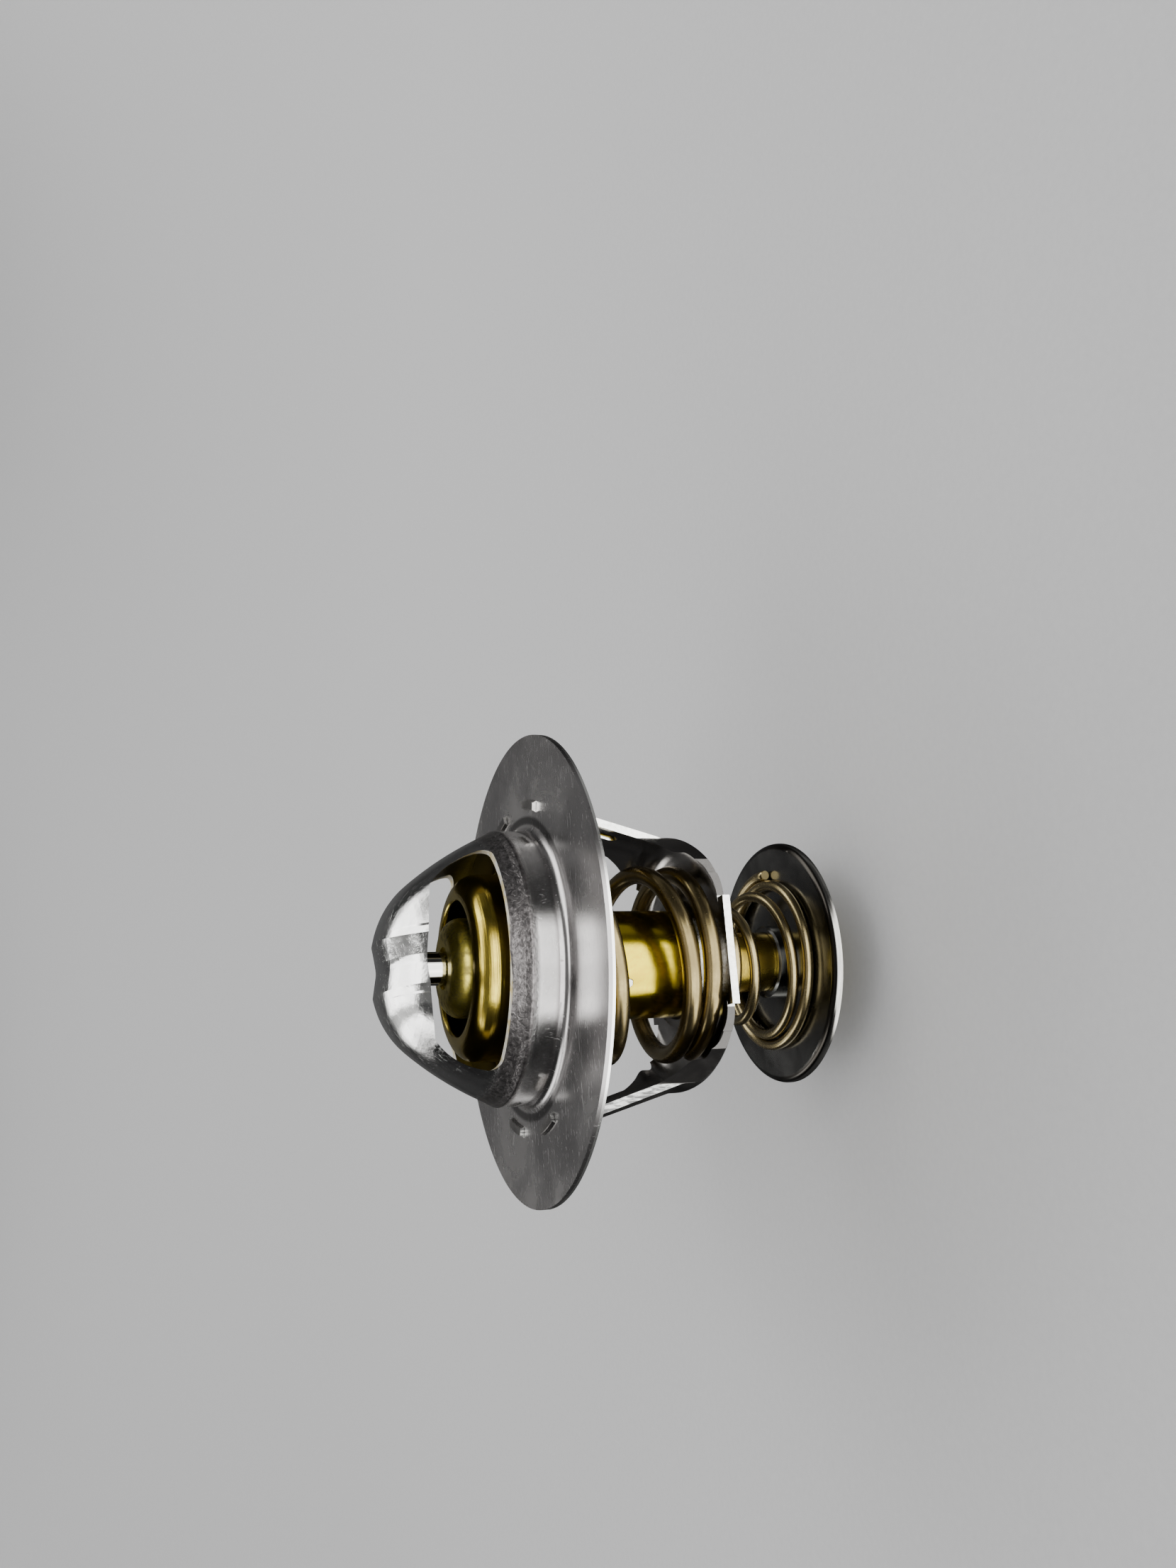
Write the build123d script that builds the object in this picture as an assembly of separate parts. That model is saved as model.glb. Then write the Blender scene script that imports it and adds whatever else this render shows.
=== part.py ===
from build123d import *
from math import cos, pi, radians, sin
import os

# Wax thermostat for an engine's coolant housing, in millimetres.
# The axis is Z. The flange's outlet face lies at z = 0, the bridge dome rises
# above it, and the bypass disc is at the bottom. The two legs of the lower
# frame and the two arms of the bridge stand at +X and -X, and the two windows
# of the bridge face +Y and -Y. The valve is shown shut.

os.makedirs("parts", exist_ok=True)

# ---------------------------------------------------------------- driving sizes

# Upper frame: flange, throat shoulder and bridge dome pressed from one sheet.
upper_sheet = 0.9
flange_radius = 33.5
throat_fillet = 1.3          # outside radius between flange and shoulder
shoulder_radius = 19.5       # outside radius of the throat's smooth band
shoulder_top = 5.0           # height of the smooth band
step_depth = 0.5             # the dome's foot is this much smaller than the shoulder
step_height = 0.8
dome_foot_rise = 1.6         # the dome's arcs start this far above the step
crown_bend = 1.026           # the dome's outline: three arcs from the crown down,
crown_bend_angle = 15.0      # with their radii as shares of the shoulder's radius
dome_bend = 0.667
dome_bend_angle = 35.0
dome_side = 2.564
dome_side_angle = 13.5

# Windows, punched along Y through both sides of the dome.
window_foot = 7.4            # height of the windows' lower edge
window_arm = 4.3             # shoulder radius less the window's half width at its foot
window_lean = 4.7            # the window's half width is this much less at its head
window_side_bulge = 0.7
window_head_height = 15.5    # height of the window's upper corners
window_arch = 1.4            # rise of the window's top edge in the middle
window_corner = 1.2

# Shallow rounded V pressed across the crown, which holds the piston's tip.
channel_depth = 0.9          # below the crown, at the channel's middle
channel_slope = 0.16         # rise of the V's sides
channel_floor_radius = 4.0
channel_blank = 6.0          # half width of the punch, wider than the channel
ridge_half_width = 4.6       # the channel's underside runs out into the sheet here

# Piston.
piston_radius = 2.38
piston_end = -22.0
piston_nose_radius = 1.3
piston_nose_length = 4.0
piston_seat_depth = 0.25     # how far the tip enters the channel's underside
piston_play = 0.03           # radial play of the tip in its seat
running_fit = 0.05           # radial play of the piston in the guide and sleeve

# Lower frame: plate, cup shoulders and legs pressed from one sheet.
lower_sheet = 1.1
plate_top = -25.55
plate_half_length = 14.3     # straight front and rear edges
plate_front_half = 7.7       # half length of the straight edges
notch_depth = 1.7            # step back beside each straight edge
notch_length = 3.6
notch_step = 1.0
ear_slope = 0.3              # fall of the cup's edge beyond the step
ear_length = 2.3
cup_radius = 18.9            # outside radius where the cup turns into the legs
cup_bend = 4.5               # outside bend between plate and cup wall
cup_top = -20.6
leg_half = 6.3               # half width of a leg from the cup upward
leg_flare_start = 1.95       # the leg widens this far inside its top's outer face ...
leg_flare_end = 1.35         # ... up to here
leg_top_half = 9.8           # half width of a leg under the flange
leg_offset = 4.45            # the leg's outer face under the flange, outside the shoulder
leg_top_radius = shoulder_radius + leg_offset
leg_straight = 1.0           # upright stretch of a leg under the flange
bead_radius = 2.2            # long stiffening bead pressed outward in each leg
bead_height = 0.6
bead_low = 0.30              # the bead's ends, as shares of the leg's length
bead_high = 0.82
collar_height = 2.0          # collar plunged upward round the capsule
tab_width = 5.0
tab_angle = 17.5             # angle between a tab's middle and the leg's middle
tab_proud = 0.6
tab_stake = 0.25             # spread of a staked tab over the flange
tab_edge = 0.1               # slope left at the top of a staked tab
slot_play = 0.12

# Wax element.
capsule_radius = 7.95
capsule_wall = 1.2
capsule_bottom = -29.6
capsule_floor = 3.2
capsule_edge = 0.5
capsule_lip = 0.6            # rim spun over the guide's flange
plate_play = 0.35            # radial play of the capsule in the plate's collar
guide_radius = 7.05
guide_top = 12.1
guide_nose_radius = 2.5      # rounding of the guide's top
guide_recess_radius = 3.0    # shallow recess round the piston
guide_recess_depth = 0.4
guide_flange = 3.0           # thickness of the flange inside the capsule's mouth
sleeve_radius = 3.7
sleeve_flange = 1.8
sleeve_end_gap = 1.6         # rubber below the piston's end
washer_thickness = 0.8
washer_radius = 4.2
inner_play = 0.05            # play between the pieces packed in the capsule

# Valve.
seat_angle = 45.0            # slope of the sealing face
seat_play = 0.15             # gap left between sealing face and throat
valve_rim_overlap = 0.76     # the rim reaches this far outside the seat's line
valve_rim_bottom = -2.3
valve_ledge = 6.25           # shoulder radius less the bowl's outside radius
valve_wall = 1.0
valve_lip_height = 10.4
valve_roll = 3.0             # radius of the rolled-in top of the bowl
valve_foot_fillet = 2.4
valve_shoulder_height = 1.2
valve_web_top = 2.4
valve_web = 1.6
valve_pilot_play = 0.35      # radial play of the ring inside the main spring's top turn
valve_pilot_wall = 1.2
valve_pilot_height = 1.3
valve_bore_play = 0.02

# Main spring: round wire, closed at both ends. Turns are counted from its foot.
main_wire = 2.7
main_mean_radius = 13.3
main_angle = -173.5          # direction of the foot's tip
main_turns = 3.36
main_closed_gap = 0.05       # gap between the touching turns at each end
main_opening_turns = (1.0, 1.3)
main_closing_turns = (2.3, 2.66)
spring_play = 0.05           # gap between a spring's end turn and its seat

# Bypass valve.
disc_sheet = 0.7
disc_radius = 18.3
disc_top = -40.3
disc_rim_height = 1.3
disc_edge_bend = 1.0
disc_collar_wall = 0.9
disc_collar_height = 1.8
stem_radius = 4.5
stem_play = 0.08
stem_end_chamfer = 0.3
stem_spigot_radius = 3.0
stem_spigot_length = 2.0
ring_thickness = 0.5
ring_groove = 0.6
ring_radius = 5.9
ring_opening = 50.0          # degrees of the retaining ring's gap
ring_play = 0.05
stem_over_ring = 0.4

# Bypass spring: a cone of round wire, wide at the disc.
bypass_wire = 1.6
bypass_angle = -8.0          # direction of the foot's tip
bypass_turns = 4.0
bypass_opening_turns = (1.0, 1.9)
bypass_closing_turns = (2.55, 3.8)
bypass_radii = (             # (turn, mean radius) along the cone, straight between them
    (0.0, 13.5),
    (0.75, 12.2),
    (1.75, 10.6),
    (2.75, 8.1),
    (bypass_turns, 6.75),
)

POINTS_PER_TURN = 8
INTO = 0.3                   # how far one form is sunk into another before joining


# ---------------------------------------------------------------- helpers

def turned(section):
    """Solid of revolution about Z from a face drawn as (radius, height)."""
    return revolve(Plane.XZ * section, Axis.Z)


def turned_sector(section, middle_angle, width_angle):
    """Part of a solid of revolution, centred on an angle about Z."""
    start = Rot(0, 0, middle_angle - width_angle / 2)
    return start * revolve(Plane.XZ * section, Axis.Z, width_angle)


def block(r_low, r_high, z_low, z_high):
    """Rectangular section between two radii and two heights."""
    middle = Pos((r_low + r_high) / 2, (z_low + z_high) / 2)
    return middle * Rectangle(r_high - r_low, z_high - z_low)


def disc(radius, z_low, z_high):
    """Plain cylinder on the axis between two heights."""
    return Pos(0, 0, z_low) * extrude(Circle(radius), z_high - z_low)


def ramp_area(turn, ramp):
    """Area under a ramp that rises from 0 to 1 between two turns and then stays there."""
    start, end = ramp
    if turn < start:
        return 0.0
    if turn < end:
        return (turn - start) ** 2 / (2 * (end - start))
    return turn - (start + end) / 2


def climb(turn, turns, rise, closed_pitch, opening, closing):
    """Height of a coil above its foot: closed end turns, with an open pitch between."""
    open_area = ramp_area(turns, opening) - ramp_area(turns, closing)
    extra_pitch = (rise - closed_pitch * turns) / open_area
    return closed_pitch * turn + extra_pitch * (ramp_area(turn, opening) - ramp_area(turn, closing))


def coil(wire, turns, foot_angle, radius_at, height_at):
    """Round wire swept along a coil whose radius and height follow the turns."""
    steps = round(turns * POINTS_PER_TURN)
    points = []
    for step in range(steps + 1):
        turn = turns * step / steps
        angle = radians(foot_angle) + 2 * pi * turn
        radius = radius_at(turn)
        points.append((radius * cos(angle), radius * sin(angle), height_at(turn)))
    path = Spline(*points)
    section = Plane(origin=path @ 0, z_dir=path % 0) * Circle(wire / 2)
    return sweep(section, path)


def save(node, solid):
    export_step(solid, f"parts/{node}.step")


# ---------------------------------------------------------------- upper frame

def dome_arcs():
    """The dome's three arcs as (radius, angle), from the crown down."""
    return (
        (crown_bend * shoulder_radius, crown_bend_angle),
        (dome_bend * shoulder_radius, dome_bend_angle),
        (dome_side * shoulder_radius, dome_side_angle),
    )


def crown_height():
    """Height of the crown, from the dome's foot and the rise of its arcs."""
    height = shoulder_top + step_height + dome_foot_rise
    slope = 0.0
    for radius, angle in dome_arcs():
        height += radius * (cos(radians(slope)) - cos(radians(slope + angle)))
        slope += angle
    return height


def dome_line():
    """The dome's outline from the crown's middle to its foot, as (radius, height)."""
    place = Vector(0, crown_height())
    heading = Vector(1, 0)
    edges = []
    for radius, angle in dome_arcs():
        arc = JernArc(place, heading, radius, -angle)
        place = arc @ 1
        heading = arc % 1
        edges += arc.edges()
    return Wire(edges)


def upper_sheet_section():
    """Section of the stamping, from the flange's rim to the crown."""
    dome = dome_line()
    outline = FilletPolyline(
        (flange_radius, 0),
        (shoulder_radius, 0),
        (shoulder_radius, shoulder_top),
        (shoulder_radius - step_depth, shoulder_top + step_height),
        dome @ 1,
        radius=[throat_fillet, step_depth, step_depth],
    )
    sheet = Wire([*outline.edges(), *dome.edges()])
    return make_face(sheet.offset_2d(upper_sheet, side=Side.LEFT))


def crown_path():
    """Line over the crown from front to rear, on the sheet's outside."""
    rear = Plane.YZ * dome_line()
    front = rear.mirror(Plane.XZ)
    return Wire([*front.edges(), *rear.edges()])


def channel_sweep(half_width, top, floor):
    """Rounded V swept over the crown; heights are measured from its outside."""
    path = crown_path()
    outward = 1 if (path @ 0).Y < 0 else -1
    start = Plane(origin=path @ 0, x_dir=(-outward, 0, 0), z_dir=path % 0)
    edge = floor + half_width * channel_slope
    section = make_face(Polyline(
        (-half_width, top),
        (half_width, top),
        (half_width, edge),
        (0, floor),
        (-half_width, edge),
        close=True,
    ))
    section = fillet(section.vertices().group_by(Axis.Y)[0], channel_floor_radius)
    return sweep(start * section, path)


def window_cutter():
    """Both windows: one punch along Y, wide at its foot and arched at its head."""
    foot_half = shoulder_radius - window_arm
    head = (foot_half - window_lean, window_head_height)
    side_middle = (
        foot_half - window_lean / 2 + window_side_bulge,
        (window_foot + window_head_height) / 2 + window_side_bulge,
    )
    foot = Line((-foot_half, window_foot), (foot_half, window_foot))
    right = ThreePointArc((foot_half, window_foot), side_middle, head)
    top = ThreePointArc(head, (0, window_head_height + window_arch), (-head[0], head[1]))
    left = ThreePointArc((-head[0], head[1]), (-side_middle[0], side_middle[1]),
                         (-foot_half, window_foot))
    outline = make_face([foot, right, top, left])
    outline = fillet(outline.vertices(), window_corner)
    return extrude(Plane.XZ * outline, flange_radius, both=True)


def tab_angles():
    return [middle + side * tab_angle for middle in (0, 180) for side in (-1, 1)]


def tab_block(angle, width, low, high):
    """Upright block that cuts a tab or a slot of this width out of a ring."""
    depth = flange_radius - shoulder_radius
    block_middle = Pos(shoulder_radius + depth / 2, 0, (low + high) / 2)
    return Rot(0, 0, angle) * block_middle * Box(depth, width, high - low)


def upper_frame():
    body = turned(upper_sheet_section())
    body += channel_sweep(ridge_half_width, INTO - upper_sheet, -upper_sheet - channel_depth)
    body -= channel_sweep(channel_blank, channel_blank, -channel_depth)
    body -= window_cutter()
    body -= disc(piston_radius + piston_play, 0, piston_top())
    ring = turned(block(leg_top_radius - lower_sheet - slot_play, leg_top_radius + slot_play,
                        -2 * upper_sheet, upper_sheet))
    for angle in tab_angles():
        body -= ring & tab_block(angle, tab_width + 2 * slot_play, -2 * upper_sheet, upper_sheet)
    return body


def piston_top():
    """Height of the piston's tip in its seat under the pressed channel."""
    return crown_height() - channel_depth - upper_sheet + piston_seat_depth


# ---------------------------------------------------------------- lower frame

def lower_sheet_section():
    """Section of plate, cup, leg and staked tab, from the capsule's hole upward."""
    outline = FilletPolyline(
        (capsule_radius + plate_play, plate_bottom()),
        (cup_radius, plate_bottom()),
        (cup_radius, cup_top),
        (leg_top_radius, -upper_sheet - leg_straight),
        (leg_top_radius, tab_proud),
        radius=[cup_bend, cup_bend, leg_straight],
    )
    sheet = make_face(Wire(outline.edges()).offset_2d(lower_sheet, side=Side.LEFT))
    head = make_face(Polyline(
        (leg_top_radius - lower_sheet - tab_stake, 0),
        (leg_top_radius - lower_sheet + tab_edge, tab_proud),
        (leg_top_radius - tab_edge, tab_proud),
        (leg_top_radius + tab_stake, 0),
        close=True,
    ))
    return sheet + head


def plate_bottom():
    return plate_top - lower_sheet


def lower_blank():
    """Plan outline of the cup and legs: stepped shoulders, then the widening legs."""
    front = plate_half_length - notch_depth
    notch_end = plate_front_half + notch_length
    quarter = [
        (0, front),
        (notch_end, front),
        (notch_end, front - notch_step),
        (notch_end + ear_length, front - notch_step - ear_slope),
        (cup_radius - lower_sheet, leg_half),
        (leg_top_radius - leg_flare_start, leg_half),
        (leg_top_radius - leg_flare_end, leg_top_half),
        (flange_radius, leg_top_half),
    ]
    right = quarter + [(x, -y) for x, y in quarter[::-1]]
    left = [(-x, -y) for x, y in right[1:-1]]
    outline = make_face(Polyline(*right, *left, close=True))
    blank = Pos(0, 0, -upper_sheet) * extrude(outline, -flange_radius)
    for angle in tab_angles():
        blank += tab_block(angle, tab_width, -upper_sheet - INTO, tab_proud)
    return blank


def leg_bead(radius, side):
    """Round-ended bar along a leg, for the bead's outside or its hollow."""
    low = Vector(cup_radius, 0, cup_top)
    high = Vector(leg_top_radius, 0, -upper_sheet - leg_straight)
    along = high - low
    inward = Vector(-along.Z, 0, along.X).normalized() * (bead_radius - bead_height)
    start = low + along * bead_low + inward
    end = low + along * bead_high + inward
    bar = Plane(origin=start, z_dir=along) * extrude(Circle(radius), (end - start).length)
    bar += Pos(start) * Sphere(radius)
    bar += Pos(end) * Sphere(radius)
    return Rot(0, 0, 0 if side > 0 else 180) * bar


def outside_of_legs():
    """Everything outside the middle of the sheet, where a bead may stand out."""
    middle = leg_top_radius - lower_sheet / 2
    low_middle = cup_radius - lower_sheet / 2
    section = Polyline(
        (low_middle, cup_top),
        (middle, -upper_sheet - leg_straight),
        (flange_radius, -upper_sheet - leg_straight),
        (flange_radius, cup_top),
        close=True,
    )
    return turned(make_face(section))


def lower_frame():
    hole = capsule_radius + plate_play
    body = turned(lower_sheet_section()) & lower_blank()
    front = Box(2 * plate_front_half, 2 * plate_half_length, lower_sheet)
    body += Pos(0, 0, plate_top - lower_sheet / 2) * front
    body += disc(hole + lower_sheet, plate_bottom(), plate_top + collar_height)
    body -= disc(hole, plate_bottom() - INTO, plate_top + collar_height + INTO)
    for side in (-1, 1):
        body += leg_bead(bead_radius, side) & outside_of_legs()
        body -= leg_bead(bead_radius - lower_sheet + INTO / 2, side)
    return body


# ---------------------------------------------------------------- wax element

def valve_bottom():
    """Underside of the valve's web, which the capsule's spun rim carries."""
    return valve_web_top - valve_web


def capsule_mouth():
    """Height of the capsule's spun rim, which seats against the valve's web."""
    return valve_bottom() - valve_bore_play


def guide_flange_bottom():
    return capsule_mouth() - capsule_lip - guide_flange


def piston():
    nose_top = piston_end + piston_nose_length
    tip = piston_seat_depth / 2
    return turned(make_face(Polyline(
        (0, piston_end),
        (piston_nose_radius, piston_end),
        (piston_radius, nose_top),
        (piston_radius, piston_top() - tip),
        (piston_radius - tip, piston_top()),
        (0, piston_top()),
        close=True,
    )))


def guide():
    flange_radius_in = capsule_radius - capsule_wall - inner_play
    flange_top = capsule_mouth() - capsule_lip
    body = disc(guide_radius, capsule_mouth() + 2 * valve_bore_play, guide_top)
    body = fillet(body.edges().group_by(Axis.Z)[-1], guide_nose_radius)
    body += disc(guide_radius - capsule_lip, flange_top - INTO, guide_top - guide_nose_radius)
    body += disc(flange_radius_in, guide_flange_bottom(), flange_top)
    body -= disc(guide_recess_radius, guide_top - guide_recess_depth, guide_top + INTO)
    body -= disc(piston_radius + running_fit, guide_flange_bottom() - INTO, guide_top + INTO)
    pocket_top = guide_flange_bottom() + washer_thickness + inner_play
    body -= disc(washer_radius + inner_play, guide_flange_bottom() - INTO, pocket_top)
    return body


def piston_washer():
    low = guide_flange_bottom()
    body = disc(washer_radius, low, low + washer_thickness)
    return body - disc(piston_radius + running_fit, low - INTO, low + washer_thickness + INTO)


def sleeve_top():
    return guide_flange_bottom() - inner_play


def sleeve():
    bore = piston_radius + running_fit
    top = sleeve_top()
    bottom = piston_end - sleeve_end_gap
    flange = disc(capsule_radius - capsule_wall - inner_play, top - sleeve_flange, top)
    tube = disc(sleeve_radius, bottom, top)
    hollow = disc(bore, piston_end + piston_nose_length, top + INTO)
    nose = loft([
        Pos(0, 0, piston_end - inner_play) * Circle(piston_nose_radius + running_fit),
        Pos(0, 0, piston_end + piston_nose_length) * Circle(bore),
    ])
    return flange + tube - hollow - nose


def wax_charge():
    top = sleeve_top() - sleeve_flange - inner_play
    bottom = capsule_bottom + capsule_floor + inner_play
    body = disc(capsule_radius - capsule_wall - inner_play, bottom, top)
    bore_bottom = piston_end - sleeve_end_gap - inner_play
    return body - disc(sleeve_radius + inner_play, bore_bottom, top + INTO)


def capsule():
    mouth = capsule_mouth()
    inner = capsule_radius - capsule_wall
    body = disc(capsule_radius, capsule_bottom, mouth)
    body = chamfer(body.edges().group_by(Axis.Z)[0], capsule_edge)
    body = fillet(body.edges().group_by(Axis.Z)[-1], capsule_lip / 2)
    body -= disc(inner, capsule_bottom + capsule_floor, mouth - capsule_lip)
    body -= disc(guide_radius - capsule_lip + inner_play, mouth - 2 * capsule_lip, mouth + INTO)
    socket_top = capsule_bottom + stem_spigot_length + inner_play
    body -= disc(stem_spigot_radius + inner_play, capsule_bottom - INTO, socket_top)
    return body


# ---------------------------------------------------------------- valve

def seat_point():
    """Where the valve's sloped face meets the rounded throat, as (radius, height)."""
    bend = throat_fillet + upper_sheet
    centre = (shoulder_radius + throat_fillet, throat_fillet)
    reach = bend + seat_play
    return (centre[0] - reach * sin(radians(seat_angle)),
            centre[1] - reach * cos(radians(seat_angle)))


def valve():
    seat_radius, seat_height = seat_point()
    rim_radius = seat_radius + valve_rim_overlap
    rim_top = seat_height - valve_rim_overlap
    face_inner = seat_radius - (valve_shoulder_height - seat_height)
    outer = shoulder_radius - valve_ledge
    inner = outer - valve_wall
    roll_centre = (outer - valve_roll, valve_lip_height - valve_roll)
    lip_inner = roll_centre[0] - valve_wall / 2
    bore = guide_radius + valve_bore_play
    web_bottom = valve_bottom()
    pilot_radius = main_mean_radius - main_wire / 2 - valve_pilot_play
    pilot_bottom = valve_rim_bottom - valve_pilot_height
    pilot_inner = pilot_radius - valve_pilot_wall
    foot = FilletPolyline(
        (outer, roll_centre[1]),
        (outer, valve_shoulder_height),
        (face_inner, valve_shoulder_height),
        radius=valve_foot_fillet,
    )
    edges = [
        *foot.edges(),
        *Polyline(
            (face_inner, valve_shoulder_height),
            (rim_radius, rim_top),
            (rim_radius, valve_rim_bottom),
            (pilot_radius, valve_rim_bottom),
            (pilot_radius, pilot_bottom),
            (pilot_inner, pilot_bottom),
            (pilot_inner, web_bottom),
            (bore, web_bottom),
            (bore, valve_web_top),
            (inner, valve_web_top),
            (inner, roll_centre[1]),
        ).edges(),
        ThreePointArc(
            (inner, roll_centre[1]),
            (roll_centre[0] + (valve_roll - valve_wall) * cos(pi / 4),
             roll_centre[1] + (valve_roll - valve_wall) * sin(pi / 4)),
            (roll_centre[0], valve_lip_height - valve_wall),
        ),
        *Polyline(
            (roll_centre[0], valve_lip_height - valve_wall),
            (lip_inner, valve_lip_height - valve_wall),
        ).edges(),
        ThreePointArc(
            (lip_inner, valve_lip_height - valve_wall),
            (lip_inner - valve_wall / 4, valve_lip_height - valve_wall / 2),
            (lip_inner, valve_lip_height),
        ),
        Line((lip_inner, valve_lip_height), (roll_centre[0], valve_lip_height)),
        ThreePointArc(
            (roll_centre[0], valve_lip_height),
            (roll_centre[0] + valve_roll * cos(pi / 4), roll_centre[1] + valve_roll * sin(pi / 4)),
            (outer, roll_centre[1]),
        ),
    ]
    return turned(make_face(edges))


# ---------------------------------------------------------------- springs

def main_spring():
    low = plate_top + main_wire / 2 + spring_play
    high = valve_rim_bottom - main_wire / 2 - spring_play
    closed = main_wire + main_closed_gap

    def height_at(turn):
        return low + climb(turn, main_turns, high - low, closed,
                           main_opening_turns, main_closing_turns)

    def radius_at(turn):
        return main_mean_radius

    return coil(main_wire, main_turns, main_angle, radius_at, height_at)


def bypass_spring():
    low = disc_top + bypass_wire / 2 + spring_play
    high = capsule_bottom - bypass_wire / 2 - spring_play

    def radius_at(turn):
        for (start, r_start), (end, r_end) in zip(bypass_radii, bypass_radii[1:]):
            if turn <= end:
                break
        return r_start + (r_end - r_start) * (turn - start) / (end - start)

    def height_at(turn):
        return low + climb(turn, bypass_turns, high - low, 0.0,
                           bypass_opening_turns, bypass_closing_turns)

    return coil(bypass_wire, bypass_turns, bypass_angle, radius_at, height_at)


# ---------------------------------------------------------------- bypass valve

def ring_top():
    """The retaining ring lies just under the disc's sheet."""
    return disc_top - disc_sheet - ring_play


def stem_bottom():
    return ring_top() - ring_thickness - stem_over_ring


def bypass_stem():
    body = disc(stem_radius, stem_bottom(), capsule_bottom)
    body = chamfer(body.edges().group_by(Axis.Z)[0], stem_end_chamfer)
    body += disc(stem_spigot_radius, capsule_bottom, capsule_bottom + stem_spigot_length)
    groove_low = ring_top() - ring_thickness - ring_play
    groove = block(stem_radius - ring_groove, stem_radius + INTO, groove_low, ring_top() + ring_play)
    return body - turned(groove)


def bypass_disc():
    bore = stem_radius + stem_play
    collar_top = disc_top + disc_collar_height
    rim_bottom = disc_top - disc_rim_height
    outline = FilletPolyline(
        (bore, disc_top),
        (disc_radius, disc_top),
        (disc_radius, rim_bottom),
        radius=disc_edge_bend,
    )
    sheet = Wire(outline.edges())
    body = turned(make_face(sheet.offset_2d(disc_sheet, side=Side.RIGHT)))
    collar = disc(bore + disc_collar_wall, disc_top - disc_sheet, collar_top)
    collar = chamfer(collar.edges().group_by(Axis.Z)[-1], disc_collar_wall / 3)
    return body + collar - disc(bore, rim_bottom, collar_top + INTO)


def retaining_ring():
    inner = stem_radius - ring_groove + ring_play
    section = block(inner, ring_radius, ring_top() - ring_thickness, ring_top())
    return turned_sector(section, 90, 360 - ring_opening)


# ---------------------------------------------------------------- build

PIECES = {
    "upper_frame": upper_frame,
    "lower_frame": lower_frame,
    "piston": piston,
    "guide": guide,
    "piston_washer": piston_washer,
    "sleeve": sleeve,
    "wax_charge": wax_charge,
    "capsule": capsule,
    "valve": valve,
    "main_spring": main_spring,
    "bypass_stem": bypass_stem,
    "bypass_spring": bypass_spring,
    "bypass_disc": bypass_disc,
    "retaining_ring": retaining_ring,
}

for node, make in PIECES.items():
    save(node, make())
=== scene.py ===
import math

import bmesh
import bpy
from mathutils import Matrix, Vector


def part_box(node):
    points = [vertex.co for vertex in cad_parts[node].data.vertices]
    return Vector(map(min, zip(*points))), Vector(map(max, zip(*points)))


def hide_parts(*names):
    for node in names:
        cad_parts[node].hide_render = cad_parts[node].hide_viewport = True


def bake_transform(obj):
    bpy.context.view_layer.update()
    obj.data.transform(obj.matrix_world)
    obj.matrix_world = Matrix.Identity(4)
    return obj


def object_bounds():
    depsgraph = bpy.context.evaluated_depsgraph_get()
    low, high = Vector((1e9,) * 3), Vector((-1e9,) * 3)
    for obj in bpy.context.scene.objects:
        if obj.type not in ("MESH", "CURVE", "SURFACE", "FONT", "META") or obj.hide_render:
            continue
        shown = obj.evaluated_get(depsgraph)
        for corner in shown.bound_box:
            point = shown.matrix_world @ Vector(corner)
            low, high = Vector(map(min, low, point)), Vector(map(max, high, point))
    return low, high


# Engine thermostat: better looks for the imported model. Everything is in metres,
# in the model's own frame, with the flange's outlet face at z = 0.

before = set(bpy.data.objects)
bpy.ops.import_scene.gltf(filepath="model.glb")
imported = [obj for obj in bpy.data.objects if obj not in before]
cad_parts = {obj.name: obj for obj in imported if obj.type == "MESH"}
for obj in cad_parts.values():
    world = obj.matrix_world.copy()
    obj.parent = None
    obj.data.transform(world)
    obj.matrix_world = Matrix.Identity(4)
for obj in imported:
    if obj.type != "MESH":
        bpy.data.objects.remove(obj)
cad_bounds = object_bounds()

MM = 0.001

# ---------------------------------------------------------------- camera

CAMERA_PLACE = Vector((-25.3, -180.4, 57.6)) * MM
CAMERA_RIGHT = Vector((-0.0685, -0.3404, -0.9378))
CAMERA_UP = Vector((0.9619, -0.2718, 0.0284))
CAMERA_BACK = Vector((-0.2647, -0.9001, 0.3461))
LENS = 30.1
SENSOR = 36.0


def add_camera():
    data = bpy.data.cameras.new("camera")
    data.lens = LENS
    data.sensor_width = SENSOR
    data.clip_start = 0.01
    camera = bpy.data.objects.new("camera", data)
    bpy.context.scene.collection.objects.link(camera)
    turn = Matrix((CAMERA_RIGHT, CAMERA_UP, CAMERA_BACK)).transposed().to_4x4()
    camera.matrix_world = Matrix.Translation(CAMERA_PLACE) @ turn
    bpy.context.scene.camera = camera


# ---------------------------------------------------------------- shader helpers

def new_material(name, metallic):
    """An empty Principled material and its tree."""
    material = bpy.data.materials.new(name)
    material.use_nodes = True
    tree = material.node_tree
    shader = tree.nodes["Principled BSDF"]
    shader.inputs["Metallic"].default_value = metallic
    return material, tree, shader


def feed(tree, socket, value):
    """Links a socket to another, or sets it to a plain value."""
    if isinstance(value, bpy.types.NodeSocket):
        tree.links.new(value, socket)
    elif isinstance(value, tuple) and len(value) == 3 and socket.type == "RGBA":
        socket.default_value = (*value, 1)
    else:
        socket.default_value = value


def calc(tree, operation, first, second=0.0, third=0.0):
    """One operation on sockets or numbers."""
    node = tree.nodes.new("ShaderNodeMath")
    node.operation = operation
    for socket, value in zip(node.inputs, (first, second, third)):
        feed(tree, socket, value)
    return node.outputs[0]


def step(tree, value, low, high, out_low=0.0, out_high=1.0):
    """Smooth step of a value from low to high."""
    node = tree.nodes.new("ShaderNodeMapRange")
    node.interpolation_type = "SMOOTHSTEP"
    inputs = (value, low, high, out_low, out_high)
    for socket, item in zip(node.inputs, inputs):
        feed(tree, socket, item)
    return node.outputs[0]


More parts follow.
